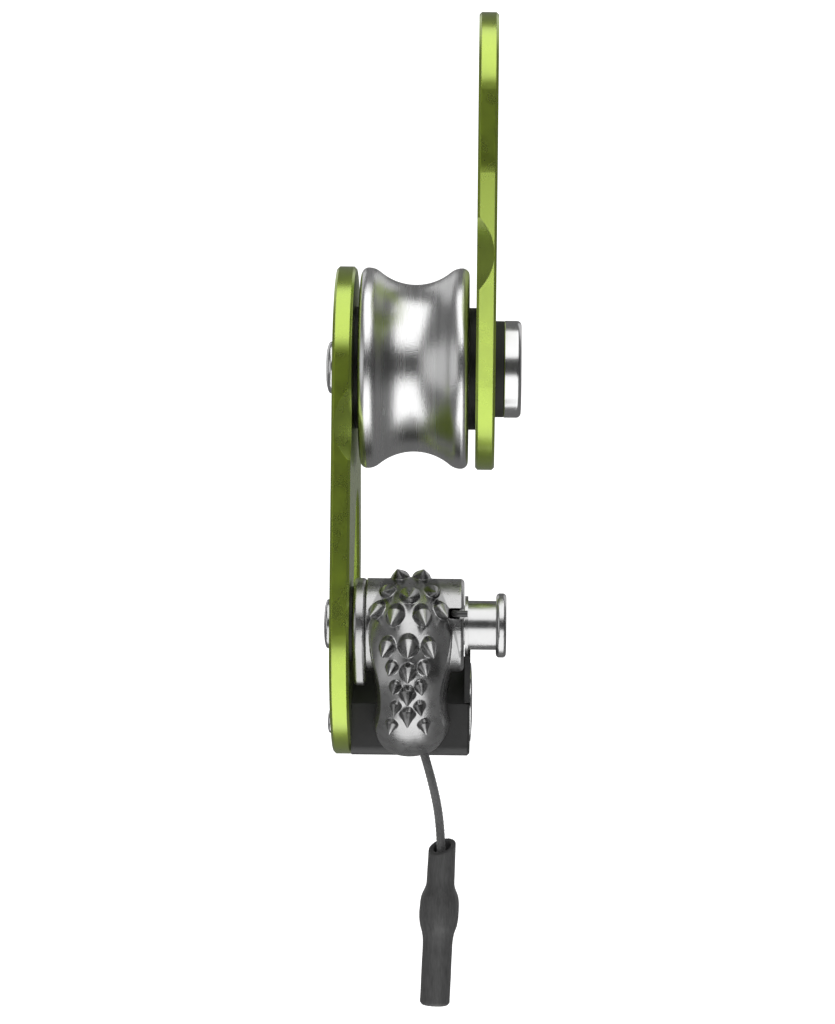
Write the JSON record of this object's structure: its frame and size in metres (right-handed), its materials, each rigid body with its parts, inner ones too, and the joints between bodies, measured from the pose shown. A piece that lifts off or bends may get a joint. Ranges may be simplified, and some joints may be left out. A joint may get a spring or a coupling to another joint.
{
  "type": "progress capture pulley",
  "caption": "Compact rope pulley with an opening side plate, a grooved ball-bearing sheave, a toothed rope-grab cam on a flanged stud and a short release cord.",
  "frame": {"origin": "centre of the fixed plate's carabiner eye, midway between the two side plates", "axes": "+X from the fixed plate to the swing plate, along every axle; +Y away from the cam's toothed face; +Z from the carabiner eye up towards the sheave"},
  "size_m": [0.0243, 0.037, 0.1213],
  "materials": {
    "anodised_green": "satin lime-green anodising",
    "turned_aluminium": "fine turned",
    "dark_aluminium": "dark satin anodising",
    "polished_steel": "polished stainless steel",
    "cast_steel": "tumbled investment casting",
    "bearing_steel": "ground",
    "spring_steel": "dark spring wire",
    "bush_bronze": "plain bearing bronze",
    "black_plastic": "low-friction plastic",
    "cage_plastic": "moulded",
    "elastomer": "matt elastomer",
    "woven_cord": "tight woven cord",
    "shrink_tube": "satin heat-shrink tube"
  },
  "bodies": {
    "frame": {"fixed_plate": "anodised_green", "sheave_axle": "polished_steel", "axle_friction_ring": "elastomer", "sheave_washer_left": "black_plastic", "sheave_washer_right": "black_plastic", "bearing_inner_rings": "bearing_steel", "bearing_spacers": "bearing_steel", "cam_axle": "polished_steel", "cam_washer_left": "black_plastic", "spring_cover": "polished_steel", "spacer_block": "dark_aluminium", "block_rivets": "polished_steel", "wear_disc": "polished_steel"},
    "wheel": {"sheave": "turned_aluminium", "bearing_outer_rings": "bearing_steel", "bearing_shields": "bearing_steel"},
    "ball_cages": {"bearing_cages": "cage_plastic", "bearing_balls": "bearing_steel"},
    "swing_plate": {"swing_plate": "anodised_green"},
    "cam": {"cam": "cast_steel", "cam_side_cheek": "cast_steel", "cam_bush": "bush_bronze", "cam_spring": "spring_steel"},
    "cord": {"release_cord": "woven_cord", "cord_end_ball": "polished_steel", "cord_stopper": "polished_steel", "cord_sleeve": "shrink_tube"}
  },
  "joints": [
    {"name": "sheave_spin", "type": "hinge", "parent": "frame", "child": "wheel", "pos_m": [0, -0.0069, 0.0264], "axis": [1, 0, 0], "continuous": true},
    {"name": "cage_spin", "type": "hinge", "parent": "frame", "child": "ball_cages", "pos_m": [0, -0.0069, 0.0264], "axis": [1, 0, 0], "continuous": true},
    {"name": "plate_swing", "type": "hinge", "parent": "frame", "child": "swing_plate", "pos_m": [0, -0.0069, 0.0264], "axis": [-1, 0, 0], "range_deg": [0, 180]},
    {"name": "cam_pivot", "type": "hinge", "parent": "frame", "child": "cam", "pos_m": [0, -0.0135, -0.0053], "axis": [-1, 0, 0], "range_deg": [0, 150]},
    {"name": "cord_hang", "type": "hinge", "parent": "cam", "child": "cord", "pos_m": [0.0011, -0.0126, -0.0196], "axis": [-1, 0, 0], "range_deg": [-170, 5]}
  ],
  "couplings": [
    {"joint": "cage_spin", "follows": "sheave_spin", "ratio": 0.58333},
    {"joint": "cord_hang", "follows": "cam_pivot", "ratio": -1}
  ]
}
